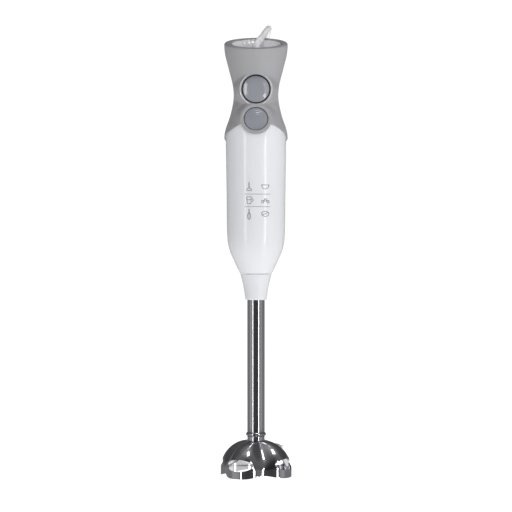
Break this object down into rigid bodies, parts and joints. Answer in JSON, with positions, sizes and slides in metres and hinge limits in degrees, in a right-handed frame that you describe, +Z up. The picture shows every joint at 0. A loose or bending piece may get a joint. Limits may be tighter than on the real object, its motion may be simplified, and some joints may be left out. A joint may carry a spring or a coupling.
{
  "type": "immersion blender",
  "caption": "Hand-held immersion blender: grip with speed dial and two press buttons, motor housing, twist-off steel foot with lobed bell and winged blade, mains cord.",
  "frame": {"origin": "middle of the bell's rim, on the surface that the blender stands on", "axes": "+Z up along the blender's axis from bell to grip, -Y the front with the buttons"},
  "size_m": [0.0652, 0.2316, 0.4186],
  "materials": {
    "white_plastic": "gloss",
    "grip_rubber": "soft-touch",
    "button_plastic": "satin gloss",
    "black_rubber": "matt",
    "dark_plastic": "moulded",
    "silver_plastic": "silver gloss",
    "polished_steel": "polished",
    "lamination_steel": "stamped",
    "copper": "enamelled copper",
    "brass": "plain",
    "circuit_board": "lacquered",
    "carbon": "pressed carbon",
    "cord_white": "smooth vinyl"
  },
  "bodies": {
    "housing": {"housing_shell": "white_plastic", "grip_shell": "grip_rubber", "coupling_socket": "dark_plastic", "cord_gland": "dark_plastic", "strain_relief": "cord_white", "cord_clamp": "dark_plastic", "control_board": "circuit_board", "emi_capacitor": "silver_plastic", "speed_switch": "dark_plastic", "turbo_switch": "dark_plastic", "dial_track_board": "circuit_board", "speed_button_seal": "black_rubber", "upper_bracket": "dark_plastic", "lower_bracket": "dark_plastic", "stator_core": "lamination_steel", "field_coil_left": "copper", "field_coil_right": "copper", "brush_holder_left": "brass", "brush_holder_right": "brass", "carbon_brush_left": "carbon", "carbon_brush_right": "carbon", "brush_spring_left": "polished_steel", "brush_spring_right": "polished_steel", "upper_bearing": "polished_steel", "lower_bearing": "polished_steel", "motor_damper": "black_rubber", "motor_lead_left": "black_rubber", "motor_lead_right": "black_rubber", "cord_drop": "cord_white", "cord_hank": "cord_white", "cord_tail": "cord_white", "cord_tie": "cord_white", "plug_body": "cord_white", "plug_pin_left": "polished_steel", "plug_pin_right": "polished_steel"},
    "rotor": {"motor_shaft": "polished_steel", "armature_core": "lamination_steel", "winding_upper": "copper", "winding_lower": "copper", "commutator": "copper", "cooling_fan": "dark_plastic", "drive_coupler": "dark_plastic"},
    "foot": {"foot_collar": "white_plastic", "foot_tube": "polished_steel", "bell": "polished_steel", "upper_bush": "silver_plastic", "lower_bush": "silver_plastic", "shaft_seal": "black_rubber"},
    "blade": {"blade_shaft": "polished_steel", "foot_coupler": "dark_plastic", "blade": "polished_steel", "blade_cap": "polished_steel"},
    "speed_button": {"speed_button": "button_plastic"},
    "speed_plunger": {"speed_plunger": "button_plastic"},
    "turbo_button": {"turbo_button": "button_plastic"},
    "turbo_plunger": {"turbo_plunger": "button_plastic"},
    "speed_dial": {"speed_dial": "silver_plastic", "dial_wiper": "brass"}
  },
  "joints": [
    {"name": "motor_spin", "type": "hinge", "parent": "housing", "child": "rotor", "pos_m": [0, 0, 0.24], "axis": [0, 0, 1], "continuous": true},
    {"name": "foot_twist", "type": "hinge", "parent": "housing", "child": "foot", "pos_m": [0, 0, 0.18], "axis": [0, 0, 1], "range_deg": [0, 30]},
    {"name": "blade_spin", "type": "hinge", "parent": "foot", "child": "blade", "pos_m": [0, 0, 0.1], "axis": [0, 0, 1], "continuous": true},
    {"name": "speed_press", "type": "slide", "parent": "housing", "child": "speed_button", "axis": [0, 1, 0], "range_m": [0, 0.0025], "stiffness_N_per_m": 800, "springref_m": -0.002},
    {"name": "speed_plunger_slide", "type": "slide", "parent": "housing", "child": "speed_plunger", "axis": [0, 1, 0], "range_m": [0, 0.0025]},
    {"name": "turbo_press", "type": "slide", "parent": "housing", "child": "turbo_button", "axis": [0, 0.9781, -0.2079], "range_m": [0, 0.0025], "stiffness_N_per_m": 800, "springref_m": -0.002},
    {"name": "turbo_plunger_slide", "type": "slide", "parent": "housing", "child": "turbo_plunger", "axis": [0, 0.9781, -0.2079], "range_m": [0, 0.0025]},
    {"name": "dial_turn", "type": "hinge", "parent": "housing", "child": "speed_dial", "pos_m": [0, 0, 0.3979], "axis": [0, -0.2756, 0.9613], "range_deg": [0, 270]}
  ],
  "couplings": [
    {"joint": "blade_spin", "follows": "motor_spin", "ratio": 1},
    {"joint": "speed_plunger_slide", "follows": "speed_press", "ratio": 1},
    {"joint": "turbo_plunger_slide", "follows": "turbo_press", "ratio": 1}
  ]
}
